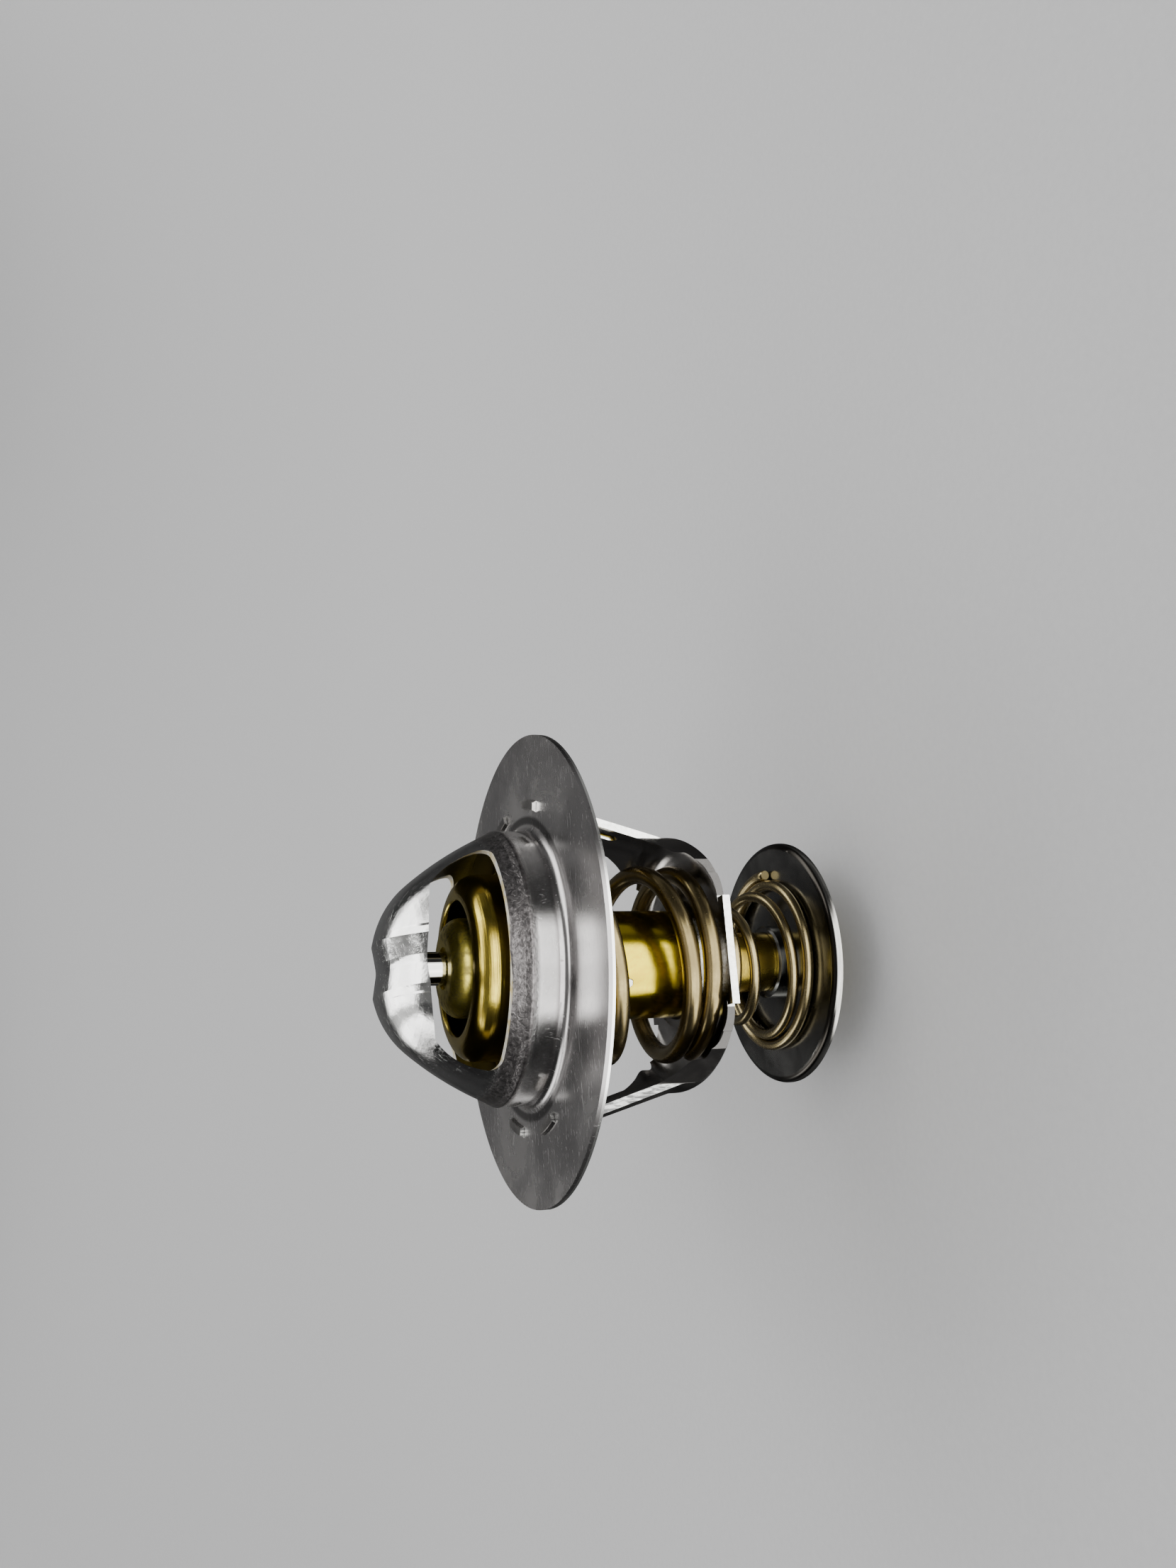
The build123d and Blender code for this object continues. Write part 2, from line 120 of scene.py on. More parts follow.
def mix(tree, share, first, second):
    """Colour mix of two colours or sockets."""
    node = tree.nodes.new("ShaderNodeMix")
    node.data_type = "RGBA"
    feed(tree, node.inputs["Factor"], share)
    feed(tree, node.inputs[6], first)
    feed(tree, node.inputs[7], second)
    return node.outputs[2]


def blend_number(tree, share, first, second):
    """Mix of two numbers or sockets."""
    node = tree.nodes.new("ShaderNodeMix")
    feed(tree, node.inputs[0], share)
    feed(tree, node.inputs[2], first)
    feed(tree, node.inputs[3], second)
    return node.outputs[0]


def place(tree):
    """Position on the model in metres, as a vector socket."""
    return tree.nodes.new("ShaderNodeTexCoord").outputs["Object"]


def stretched(tree, vector, scale):
    """Texture place with its own scale on each axis."""
    node = tree.nodes.new("ShaderNodeMapping")
    feed(tree, node.inputs["Vector"], vector)
    node.inputs["Scale"].default_value = scale
    return node.outputs[0]


def noise(tree, vector, scale, detail, roughness, distortion=0.0):
    """Noise from 0 to 1. The scale is in repeats per unit of the vector."""
    node = tree.nodes.new("ShaderNodeTexNoise")
    feed(tree, node.inputs["Vector"], vector)
    node.inputs["Scale"].default_value = scale
    node.inputs["Detail"].default_value = detail
    node.inputs["Roughness"].default_value = roughness
    node.inputs["Distortion"].default_value = distortion
    return node.outputs["Fac"]


def bump(tree, height, distance):
    """Normal of a relief that is one distance deep where its height is 1."""
    node = tree.nodes.new("ShaderNodeBump")
    feed(tree, node.inputs["Height"], height)
    node.inputs["Distance"].default_value = distance
    return node.outputs[0]


def parts_of(tree, vector):
    """A vector's x, y and z as sockets."""
    node = tree.nodes.new("ShaderNodeSeparateXYZ")
    feed(tree, node.inputs[0], vector)
    return node.outputs


def polar(tree, vector):
    """(distance from the axis, angle about it, height) as sockets."""
    x, y, z = parts_of(tree, vector)
    radius = calc(tree, "SQRT", calc(tree, "ADD", calc(tree, "MULTIPLY", x, x),
                                     calc(tree, "MULTIPLY", y, y)))
    return radius, calc(tree, "ARCTAN2", y, x), z


def flat_normal(tree):
    """The surface's true normal, without bump or smoothing, as three sockets."""
    return parts_of(tree, tree.nodes.new("ShaderNodeNewGeometry").outputs["True Normal"])


def both(tree, *masks):
    """Where all the masks hold: their product."""
    result = masks[0]
    for mask in masks[1:]:
        result = calc(tree, "MULTIPLY", result, mask)
    return result


def faded(tree, *fades):
    """Mask with soft edges. A fade is a value, where it starts to hold and where it holds fully."""
    return both(tree, *(step(tree, value, *ends) for value, ends in fades))


def combine(tree, x, y, z):
    """A vector from three sockets."""
    node = tree.nodes.new("ShaderNodeCombineXYZ")
    for socket, value in zip(node.inputs, (x, y, z)):
        feed(tree, socket, value)
    return node.outputs[0]


def around_axis(tree, vector, round_scale, radial_scale, height_scale):
    """Texture place with its own scale round the axis, across it and along it."""
    radius, angle, height = polar(tree, vector)
    return combine(
        tree,
        calc(tree, "MULTIPLY", calc(tree, "SINE", angle), round_scale),
        calc(tree, "MULTIPLY_ADD", radius, radial_scale,
             calc(tree, "MULTIPLY", calc(tree, "COSINE", angle), round_scale)),
        calc(tree, "MULTIPLY", height, height_scale),
    )


# ---------------------------------------------------------------- materials

CUT_STEEL = (0.94, 0.94, 0.92)
CUT_BRASSY = (0.78, 0.66, 0.36)          # brassy tint in patches on the windows' cut edges
DEEP_SHADE = (0.06, 0.058, 0.055)
PIT_SHADE = (0.05, 0.05, 0.05)

# Zones of the upper frame: heights over the flange's outlet face, and radii. A pair is
# where the zone starts to show and where it shows fully.
DOME_FOOT = (1.2 * MM, 2.0 * MM)
BAND_TOP_HEIGHT = (4.7 * MM, 4.3 * MM)
ETCHED_FOOT = (3.9 * MM, 4.9 * MM)
ETCHED_TOP = (8.8 * MM, 7.2 * MM)
GROOVE_INNER = (20.3 * MM, 20.7 * MM)
GROOVE_OUTER = (22.0 * MM, 21.4 * MM)
GROOVE_FOOT = (-0.4 * MM, -0.1 * MM)
GROOVE_TOP = (1.0 * MM, 0.5 * MM)
INSIDE_FROM = 1.0 * MM                   # height over which a wall that faces in is inside
FACES_IN = -1.5 * MM                     # normal times place, seen from above, on such a wall
FACES_DOWN = -0.3                        # the normal's height part on the crown's underside
FACES_ACROSS = 0.03                      # the normal's y part, at most, on a window's cut edge
WINDOW_AWAY = 7.0 * MM                   # the cut edges lie past this y, either way
WINDOW_SILL = 6.6 * MM
RIM_FROM = 33.46 * MM
RIM_BRIGHT = (-0.50 * MM, -0.58 * MM)

# Zones of the lower frame
SHEARED_FACES = 0.80                     # the normal's y part, at least, on a sheared edge
# the ears' lower sheared edges get painted shade
EAR_FROM = (7.8 * MM, 8.0 * MM)          # x, either way
EAR_UNDER = (-19.6 * MM, -20.4 * MM)
FAR_LEG = (-17.0 * MM, -17.6 * MM)       # x; this leg's sheared edges get painted shade

# Zones of the bypass disc, as radii
ROLL_INNER = (17.2 * MM, 17.5 * MM)
ROLL_OUTER = (18.17 * MM, 18.10 * MM)
LIP_FROM = (18.15 * MM, 18.22 * MM)


def upper_steel():
    """Pressed stainless: satin smudged flange, polished dome, sheared bright edges."""
    material, tree, shader = new_material("upper_steel", 1.0)
    spot = place(tree)
    radius, _, height = polar(tree, spot)
    normal_x, normal_y, normal_z = flat_normal(tree)
    x, y, _ = parts_of(tree, spot)
    outward = calc(tree, "MULTIPLY_ADD", normal_x, x, calc(tree, "MULTIPLY", normal_y, y))
    inside = both(tree, calc(tree, "GREATER_THAN", height, INSIDE_FROM),
                  calc(tree, "MAXIMUM", calc(tree, "LESS_THAN", outward, FACES_IN),
                       calc(tree, "LESS_THAN", normal_z, FACES_DOWN)))

    dome = step(tree, height, *DOME_FOOT)
    band = both(tree, dome, step(tree, height, *BAND_TOP_HEIGHT))
    etched = faded(tree, (height, ETCHED_FOOT), (height, ETCHED_TOP))
    groove_shade = faded(tree, (radius, GROOVE_INNER), (radius, GROOVE_OUTER),
                   (height, GROOVE_FOOT), (height, GROOVE_TOP))
    window_edge = both(
        tree,
        calc(tree, "LESS_THAN", calc(tree, "ABSOLUTE", normal_y), FACES_ACROSS),
        calc(tree, "GREATER_THAN", calc(tree, "ABSOLUTE", y), WINDOW_AWAY),
        calc(tree, "GREATER_THAN", height, WINDOW_SILL),
    )
    rim_edge = both(tree, calc(tree, "GREATER_THAN", radius, RIM_FROM),
                    step(tree, height, *RIM_BRIGHT))
    edge = calc(tree, "MAXIMUM", window_edge, rim_edge)

    clouds = noise(tree, spot, 70, 5, 0.6, 0.6)
    grime = noise(tree, spot, 420, 6, 0.7, 0.3)
    fine = noise(tree, spot, 2600, 4, 0.6)
    rolled = noise(tree, stretched(tree, spot, (9000, 260, 9000)), 1.0, 2, 0.5)
    scuff_line = noise(tree, stretched(tree, spot, (500, 5200, 900)), 1.0, 3, 0.6, 1.2)
    scuffs = step(tree, scuff_line, 0.64, 0.70)
    spots = step(tree, noise(tree, spot, 1300, 2, 0.5), 0.70, 0.76)

    steel = mix(tree, clouds, (0.36, 0.345, 0.35), (0.48, 0.465, 0.46))
    dome_steel = mix(tree, clouds, (0.66, 0.66, 0.665), (0.86, 0.855, 0.84))
    colour = mix(tree, dome, steel, dome_steel)
    leather = noise(tree, spot, 1500, 5, 0.62, 0.5)
    sparkle = mix(tree, step(tree, leather, 0.30, 0.70),
                  (0.06, 0.055, 0.056), (0.24, 0.225, 0.225))
    colour = mix(tree, etched, colour, sparkle)
    colour = mix(tree, calc(tree, "MULTIPLY", grime, 0.35), colour, (0.20, 0.19, 0.19))
    colour = mix(tree, calc(tree, "MULTIPLY", spots, 0.5), colour, (0.12, 0.11, 0.10))
    # painted shade: the sunk ring round the dome's foot is darkened where shade falls
    colour = mix(tree, groove_shade, colour, (0.09, 0.085, 0.085))
    colour = mix(tree, inside, colour, DEEP_SHADE)
    brassy = both(tree, window_edge, step(tree, grime, 0.42, 0.60))
    cut = mix(tree, brassy, CUT_STEEL, CUT_BRASSY)
    colour = mix(tree, edge, colour, cut)

    flange_rough = step(tree, clouds, 0.30, 0.70, 0.21, 0.29)
    dome_rough = step(tree, grime, 0.35, 0.70, 0.07, 0.18)
    rough = blend_number(tree, dome, flange_rough, dome_rough)
    rough = blend_number(tree, band, rough, 0.13)
    rough = blend_number(tree, etched, rough, 0.33)
    rough = calc(tree, "MULTIPLY_ADD", scuffs, 0.10, rough)
    rough = blend_number(tree, inside, rough, 0.45)
    rough = blend_number(tree, edge, rough, 0.22)
    feed(tree, shader.inputs["Metallic"], calc(tree, "MULTIPLY_ADD", window_edge, -0.75, 1.0))

    feed(tree, shader.inputs["Base Color"], colour)
    feed(tree, shader.inputs["Roughness"], rough)
    relief = calc(tree, "MULTIPLY_ADD", rolled, 0.35, calc(tree, "MULTIPLY", fine, 0.5))
    relief = calc(tree, "MULTIPLY_ADD", scuffs, -0.8, relief)
    peel = noise(tree, spot, 1100, 2, 0.5)
    peel_depth = blend_number(tree, band, blend_number(tree, dome, 1.1, 5.0), 1.6)
    relief = calc(tree, "MULTIPLY_ADD", peel, peel_depth, relief)
    relief = calc(tree, "MULTIPLY_ADD", both(tree, leather, etched), 24.0, relief)
    feed(tree, shader.inputs["Normal"], bump(tree, relief, 0.004 * MM))
    return material


def lower_steel():
    """Dark polished sheet with bright sheared edges; painted shade darkens the far leg's sheared
    edges, in streaks, and the ears' lower sheared edges.
    """
    material, tree, shader = new_material("lower_steel", 1.0)
    spot = place(tree)
    _, normal_y, _ = flat_normal(tree)
    x, _, z = parts_of(tree, spot)
    sheared = calc(tree, "GREATER_THAN", calc(tree, "ABSOLUTE", normal_y), SHEARED_FACES)
    ear_shade = faded(tree, (calc(tree, "ABSOLUTE", x), EAR_FROM), (z, EAR_UNDER))
    far_leg_shade = step(tree, x, *FAR_LEG)
    clouds = noise(tree, spot, 110, 5, 0.6, 0.5)
    fine = noise(tree, spot, 1800, 5, 0.7)
    streaks = noise(tree, stretched(tree, spot, (5200, 5200, 240)), 1.0, 3, 0.6)
    torn = noise(tree, stretched(tree, spot, (1500, 500, 1500)), 1.0, 4, 0.7)
    colour = mix(tree, clouds, (0.26, 0.25, 0.24), (0.50, 0.48, 0.46))
    colour = mix(tree, calc(tree, "MULTIPLY", fine, 0.3), colour, (0.10, 0.09, 0.09))
    cut = mix(tree, step(tree, torn, 0.3, 0.7), CUT_STEEL, (0.74, 0.73, 0.70))
    shade_streak_noise = noise(tree, stretched(tree, spot, (2600, 300, 500)), 1.0, 3, 0.6)
    shade_streaks = step(tree, shade_streak_noise, 0.40, 0.62)
    # painted shade: the far leg's sheared edges are darker, broken into streaks
    cut = mix(tree, far_leg_shade, cut, mix(tree, shade_streaks, (0.10, 0.10, 0.10), (0.42, 0.42, 0.41)))
    # painted shade: the ears' sheared edges low down are near black
    cut = mix(tree, ear_shade, cut, (0.075, 0.072, 0.07))
    colour = mix(tree, sheared, colour, cut)
    rough = step(tree, clouds, 0.3, 0.7, 0.13, 0.26)
    rough = blend_number(tree, sheared, rough, step(tree, torn, 0.3, 0.7, 0.16, 0.34))
    feed(tree, shader.inputs["Base Color"], colour)
    feed(tree, shader.inputs["Roughness"], rough)
    relief = calc(tree, "MULTIPLY_ADD", streaks, 0.5, calc(tree, "MULTIPLY", fine, 0.7))
    relief = calc(tree, "MULTIPLY_ADD", both(tree, torn, sheared), 4.0, relief)
    feed(tree, shader.inputs["Normal"], bump(tree, relief, 0.006 * MM))
    return material


CHIP_TINT = (0.80, 0.78, 0.66)
CHIP_EDGE = (1.35, 1.15)                 # in sizes of the chip
HOLLOW_SHADE = (0.05, 0.038, 0.015)
HOLLOW_WALL_FADE = 0.2 * MM
HOLLOW_BRIM_FADE = 0.3 * MM


def brass(name, bright, deep, roughness, turned_depth, mottled, chip=None, hollow=None):
    """Turned or drawn brass with fine rings round the axis and a dull bloom. A chip is a
    place and a size, and a hollow is the radius and the height that it lies within; the hollow
    gets painted shade."""
    material, tree, shader = new_material(name, 1.0)
    spot = place(tree)
    rings = noise(tree, around_axis(tree, spot, 0.6, 4200, 4200), 1.0, 3, 0.6)
    clouds = noise(tree, spot, 160, 5, 0.62, 0.8)
    grain = noise(tree, spot, 2400, 5, 0.75)
    blot = step(tree, noise(tree, spot, 620, 4, 0.7, 0.4), 0.42, 0.66)
    colour = mix(tree, step(tree, clouds, 0.3, 0.7), bright, deep)
    colour = mix(tree, calc(tree, "MULTIPLY", blot, mottled), colour, (0.16, 0.13, 0.05))
    colour = mix(tree, calc(tree, "MULTIPLY", grain, 0.25), colour, deep)
    rough = step(tree, clouds, 0.3, 0.7, *roughness)
    rough = calc(tree, "MULTIPLY_ADD", blot, 0.14 * mottled, rough)
    relief = calc(tree, "MULTIPLY_ADD", rings, turned_depth, calc(tree, "MULTIPLY", grain, 0.8))
    relief = calc(tree, "MULTIPLY_ADD", blot, mottled * 2.0, relief)
    if chip:
        centre, size = chip
        apart = tree.nodes.new("ShaderNodeVectorMath")
        apart.operation = "DISTANCE"
        feed(tree, apart.inputs[0], spot)
        apart.inputs[1].default_value = centre
        ragged = calc(tree, "MULTIPLY_ADD", noise(tree, spot, 1500, 3, 0.6), size,
                      apart.outputs["Value"])
        inside = step(tree, ragged, *(size * share for share in CHIP_EDGE))
        colour = mix(tree, inside, colour, CHIP_TINT)
        rough = blend_number(tree, inside, rough, 0.38)
        relief = calc(tree, "MULTIPLY_ADD", inside, -14.0, relief)
    if hollow:
        wall, brim = hollow
        radius, _, height = polar(tree, spot)
        within = faded(tree, (radius, (wall, wall - HOLLOW_WALL_FADE)),
                       (height, (brim, brim - HOLLOW_BRIM_FADE)))
        # painted shade in the hollow
        colour = mix(tree, within, colour, HOLLOW_SHADE)
        rough = blend_number(tree, within, rough, 0.45)
    feed(tree, shader.inputs["Base Color"], colour)
    feed(tree, shader.inputs["Roughness"], rough)
    feed(tree, shader.inputs["Normal"], bump(tree, relief, 0.006 * MM))
    return material


def piston_steel():
    """Ground and polished rod with faint lines round it."""
    material, tree, shader = new_material("piston_steel", 1.0)
    spot = place(tree)
    rings = noise(tree, around_axis(tree, spot, 0.5, 9000, 9000), 1.0, 3, 0.6)
    clouds = noise(tree, spot, 300, 4, 0.6)
    colour = mix(tree, clouds, (0.56, 0.55, 0.53), (0.80, 0.79, 0.76))
    feed(tree, shader.inputs["Base Color"], colour)
    feed(tree, shader.inputs["Roughness"], step(tree, clouds, 0.3, 0.7, 0.05, 0.12))
    feed(tree, shader.inputs["Normal"], bump(tree, rings, 0.002 * MM))
    return material


def disc_steel():
    """Dark mirror-like disc: faint turned grain, a few pinholes, a rolled edge in painted shade and
    its lip with a painted highlight.
    """
    material, tree, shader = new_material("disc_steel", 1.0)
    spot = place(tree)
    rings = noise(tree, around_axis(tree, spot, 0.5, 7000, 7000), 1.0, 3, 0.6)
    clouds = noise(tree, spot, 130, 5, 0.6, 0.6)
    pits = step(tree, noise(tree, spot, 1700, 2, 0.5), 0.72, 0.78)
    colour = mix(tree, clouds, (0.12, 0.12, 0.115), (0.22, 0.22, 0.21))
    colour = mix(tree, pits, colour, PIT_SHADE)
    radius = polar(tree, spot)[0]
    rolled = faded(tree, (radius, ROLL_INNER), (radius, ROLL_OUTER))
    # painted shade on the rolled edge
    colour = mix(tree, rolled, colour, (0.035, 0.032, 0.028))
    lip = step(tree, radius, *LIP_FROM)
    # painted highlight: the lip is painted lighter than the disc
    colour = mix(tree, lip, colour, (0.36, 0.35, 0.33))
    feed(tree, shader.inputs["Base Color"], colour)
    feed(tree, shader.inputs["Roughness"], step(tree, clouds, 0.3, 0.7, 0.13, 0.24))
    relief = calc(tree, "MULTIPLY_ADD", pits, -2.0, rings)
    feed(tree, shader.inputs["Normal"], bump(tree, relief, 0.003 * MM))
    return material


def spring_wire(name, light, dark):
    """Drawn wire: faint lines along it, oil bloom and small dark nicks."""
    material, tree, shader = new_material(name, 1.0)
    spot = place(tree)
    along = tree.nodes.new("ShaderNodeUVMap").outputs[0]
    lines = noise(tree, stretched(tree, along, (60, 1.2, 1)), 1.0, 4, 0.65)
    clouds = noise(tree, spot, 170, 5, 0.6, 0.5)
    fine = noise(tree, spot, 2200, 4, 0.7)
    nick_noise = noise(tree, stretched(tree, along, (9, 0.9, 1)), 1.0, 5, 0.7, 0.5)
    nicks = step(tree, nick_noise, 0.66, 0.72)
    colour = mix(tree, step(tree, clouds, 0.3, 0.7), light, dark)
    colour = mix(tree, calc(tree, "MULTIPLY", fine, 0.3), colour, (0.08, 0.065, 0.04))
    colour = mix(tree, calc(tree, "MULTIPLY", nicks, 0.7), colour, (0.05, 0.04, 0.03))
    feed(tree, shader.inputs["Base Color"], colour)
    rough = step(tree, clouds, 0.3, 0.7, 0.20, 0.30)
    feed(tree, shader.inputs["Roughness"], calc(tree, "MULTIPLY_ADD", nicks, 0.2, rough))
    relief = calc(tree, "MULTIPLY_ADD", lines, 1.2, calc(tree, "MULTIPLY", fine, 0.8))
    relief = calc(tree, "MULTIPLY_ADD", nicks, -1.5, relief)
    feed(tree, shader.inputs["Normal"], bump(tree, relief, 0.006 * MM))
    return material


def moulded(name, light, dark, rough, scale):
    """Wax or rubber inside the element."""
    material, tree, shader = new_material(name, 0.0)
    spot = place(tree)
    grain = noise(tree, spot, scale, 5, 0.7)
    feed(tree, shader.inputs["Base Color"], mix(tree, grain, light, dark))
    feed(tree, shader.inputs["Roughness"], step(tree, grain, 0.3, 0.7, rough, rough + 0.12))
    feed(tree, shader.inputs["Normal"], bump(tree, grain, 0.02 * MM))
    return material


VALVE_HOLLOW = (12.6 * MM, 9.5 * MM)     # radius and height of the room in the ring, in painted shade
CAPSULE_CHIP = (Vector((-3.6, -7.1, -13.0)) * MM, 1.0 * MM)


def dress_nodes():
    """Gives every CAD piece its material."""
    dressing = {
        "upper_frame": upper_steel(),
        "lower_frame": lower_steel(),
        "piston": piston_steel(),
        "guide": brass("guide_brass", (0.80, 0.69, 0.13), (0.55, 0.46, 0.085),
                       roughness=(0.26, 0.38), turned_depth=0.4, mottled=0.85),
        "valve": brass("valve_brass", (0.66, 0.52, 0.085), (0.42, 0.315, 0.055),
                       roughness=(0.15, 0.21), turned_depth=6.0, mottled=0.15,
                       hollow=VALVE_HOLLOW),
        "capsule": brass("capsule_brass", (0.68, 0.54, 0.035), (0.52, 0.385, 0.026),
                         roughness=(0.13, 0.21), turned_depth=0.7, mottled=0.12,
                         chip=CAPSULE_CHIP),
        "bypass_stem": brass("stem_brass", (0.48, 0.36, 0.05), (0.26, 0.18, 0.03),
                             roughness=(0.20, 0.30), turned_depth=1.4, mottled=0.3),
        "bypass_disc": disc_steel(),
        "retaining_ring": lower_steel(),
        "sleeve": moulded("sleeve_rubber", (0.03, 0.03, 0.03), (0.06, 0.055, 0.05), 0.55, 900),
        "piston_washer": moulded("washer_plastic", (0.55, 0.53, 0.47), (0.42, 0.40, 0.36),
                                 0.4, 700),
        "wax_charge": moulded("wax", (0.62, 0.40, 0.25), (0.50, 0.30, 0.18), 0.45, 500),
    }
    for node, material in dressing.items():
        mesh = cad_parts[node].data
        mesh.materials.clear()
        mesh.materials.append(material)


# ---------------------------------------------------------------- springs

SIDES = 24
RINGS_PER_TURN = 72
END_BEVEL = 0.12 * MM

MAIN_WIRE = 2.7 * MM
MAIN_RADIUS = 13.3 * MM
MAIN_ANGLE = -173.5
MAIN_TURNS = 3.36
MAIN_CLOSED_PITCH = 2.75 * MM
MAIN_OPENING = (1.0, 1.3)
MAIN_CLOSING = (2.3, 2.66)

BYPASS_WIRE = 1.6 * MM
BYPASS_ANGLE = -8.0
BYPASS_TURNS = 4.0
BYPASS_OPENING = (1.0, 1.9)
BYPASS_CLOSING = (2.55, 3.8)
BYPASS_RADII = (             # (turn, mean radius in mm) along the cone
    (0.0, 13.5), (0.75, 12.2), (1.75, 10.6), (2.75, 8.1), (4.0, 6.75))
TAPER_REACH = 0.25           # turns to either side that the cone's radius is averaged over
TAPER_SAMPLES = 9
TINY_TURN = 0.001            # step for the coil's direction


def ramp_area(turn, ramp):
    """Area under a ramp that rises from 0 to 1 between two turns and then stays there."""
    start, end = ramp
    if turn < start:
        return 0.0
    if turn < end:
        return (turn - start) ** 2 / (2 * (end - start))
    return turn - (start + end) / 2


def climb(turn, turns, rise, closed_pitch, opening, closing):
    """Height of a coil above its foot: closed end turns, with an open pitch between."""
    open_area = ramp_area(turns, opening) - ramp_area(turns, closing)
    extra_pitch = (rise - closed_pitch * turns) / open_area
    return closed_pitch * turn + extra_pitch * (ramp_area(turn, opening) - ramp_area(turn, closing))


def eased_radius(turn):
    """The cone's radius between its listed turns, rounded where its taper changes."""
    last = BYPASS_RADII[-1][0]
    total = 0.0
    for index in range(TAPER_SAMPLES):
        at = turn + TAPER_REACH * (2 * index / (TAPER_SAMPLES - 1) - 1)
        at = min(max(at, 0.0), last)
        for (start, r_start), (end, r_end) in zip(BYPASS_RADII, BYPASS_RADII[1:]):
            if at <= end:
                break
        total += r_start + (r_end - r_start) * (at - start) / (end - start)
    return total / TAPER_SAMPLES * MM


def coil_spring(name, node, wire, angle_at_zero, turns, climbing, radius_at, material):
    """Round wire along a coil, with trimmed ends, a UV map along it and a weight per ring."""
    low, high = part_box(node)
    foot = low.z + wire / 2
    rise = high.z - low.z - wire
    steps = round(turns * RINGS_PER_TURN)

    def height(turn):
        return climb(turn, turns, rise, *climbing)

    def centre(turn):
        angle = math.radians(angle_at_zero) + 2 * math.pi * turn
        radius = radius_at(turn)
        return Vector((radius * math.cos(angle), radius * math.sin(angle), foot + height(turn)))

    trim = END_BEVEL / (2 * math.pi * radius_at(turns))
    slim = 1 - 2 * END_BEVEL / wire
    stations = [(turns * k / steps, 1.0) for k in range(1, steps)]
    stations = [(0.0, slim), (trim, 1.0), *stations, (turns - trim, 1.0), (turns, slim)]

    mesh = bmesh.new()
    uv_layer = mesh.loops.layers.uv.new("along")
    rings = []
    weights = []
    for turn, size in stations:
        middle = centre(turn)
        ahead = (centre(turn + TINY_TURN) - centre(turn - TINY_TURN)).normalized()
        outward = Vector((middle.x, middle.y, 0)).normalized()
        outward = (outward - ahead * outward.dot(ahead)).normalized()
        upward = ahead.cross(outward)
        ring = []
        for side in range(SIDES):
            at = 2 * math.pi * side / SIDES
            offset = (outward * math.cos(at) + upward * math.sin(at)) * wire / 2 * size
            ring.append(mesh.verts.new(middle + offset))
        rings.append(ring)
        weights += [height(turn) / rise] * SIDES
    for row, (near, far) in enumerate(zip(rings, rings[1:])):
        v_near = stations[row][0] * RINGS_PER_TURN
        v_far = stations[row + 1][0] * RINGS_PER_TURN
        for side in range(SIDES):
            after = (side + 1) % SIDES
            face = mesh.faces.new((near[side], near[after], far[after], far[side]))
            u_near, u_far = side / SIDES, (side + 1) / SIDES
            for loop, uv in zip(face.loops, ((u_near, v_near), (u_far, v_near),
                                             (u_far, v_far), (u_near, v_far))):
                loop[uv_layer].uv = uv
            face.smooth = 0 < row < len(rings) - 2
    mesh.faces.new(rings[0][::-1])
    mesh.faces.new(rings[-1])
    bmesh.ops.recalc_face_normals(mesh, faces=mesh.faces)
    data = bpy.data.meshes.new(name)
    mesh.to_mesh(data)
    mesh.free()
    piece = bpy.data.objects.new(name, data)
    bpy.context.scene.collection.objects.link(piece)
    data.materials.append(material)
    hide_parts(node)
    return piece, weights, foot, foot + rise


def add_springs():
    """Both springs, each with its ends on the two bodies that it pushes apart."""
    bronze = spring_wire("main_spring_wire", (0.31, 0.245, 0.115), (0.20, 0.155, 0.07))
    main, weights, foot, head = coil_spring(
        "main_spring_coil", "main_spring", MAIN_WIRE, MAIN_ANGLE, MAIN_TURNS,
        (MAIN_CLOSED_PITCH, MAIN_OPENING, MAIN_CLOSING), lambda turn: MAIN_RADIUS, bronze)
    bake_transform(main)

    pale = spring_wire("bypass_spring_wire", (0.37, 0.30, 0.15), (0.25, 0.20, 0.10))
    small, weights, foot, head = coil_spring(
        "bypass_spring_coil", "bypass_spring", BYPASS_WIRE, BYPASS_ANGLE, BYPASS_TURNS,
        (0.0, BYPASS_OPENING, BYPASS_CLOSING), eased_radius, pale)
    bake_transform(small)


# ---------------------------------------------------------------- studio

FLOOR_DROP = 8.2 * MM        # room under the disc for the valve's travel
FLOOR_FLAT = 0.42
FLOOR_REACH = 1.1
FLOOR_RISE = 0.75
FLOOR_BENDS = 16
FLOOR_SIDES = 96
FLOOR_TINTS = ((0.50, 0.50, 0.505), (0.56, 0.56, 0.56))

LIGHT_TARGET = Vector((0, 0, -10)) * MM
LIGHT_DISTANCE = 0.8
LIGHT_SIZE = 0.8
LIGHTS = (                   # name, direction from the object, watts
    ("key", Vector((0.2, -0.9, 0.9)), 5.0),
    ("fill_left", Vector((-0.9, 0.0, 0.8)), 3.0),
    ("fill_right", Vector((0.9, 0.2, 0.8)), 4.0),
    ("fill_back", Vector((0.0, 0.8, 0.8)), 3.0),
)

# What the metal mirrors: radiances, and where each part of the room lies, as a direction's
# parts along the photo's right, up and back. A pair is where it starts and where it is full.
BAND = (6.4, 6.4, 6.25)
WALL_DARK = (0.015, 0.015, 0.015)
WALL_PALE = (0.06, 0.06, 0.06)
BEYOND = (0.11, 0.11, 0.11)
BEYOND_CENTRE = (-0.45 * CAMERA_RIGHT - 0.1 * CAMERA_UP - 0.88 * CAMERA_BACK).normalized()
BEYOND_FADE = (0.84, 0.985)
SIDE_STRIP = (0.22, 0.22, 0.22)
STRIP_FADES = (("up", (0.80, 0.86)), ("up", (0.97, 0.92)),
               ("back", (0.15, 0.0)), ("back", (-0.6, -0.4)))
GROUND = (0.5, 0.5, 0.5)
GROUND_FADE = (-0.50, -0.75)

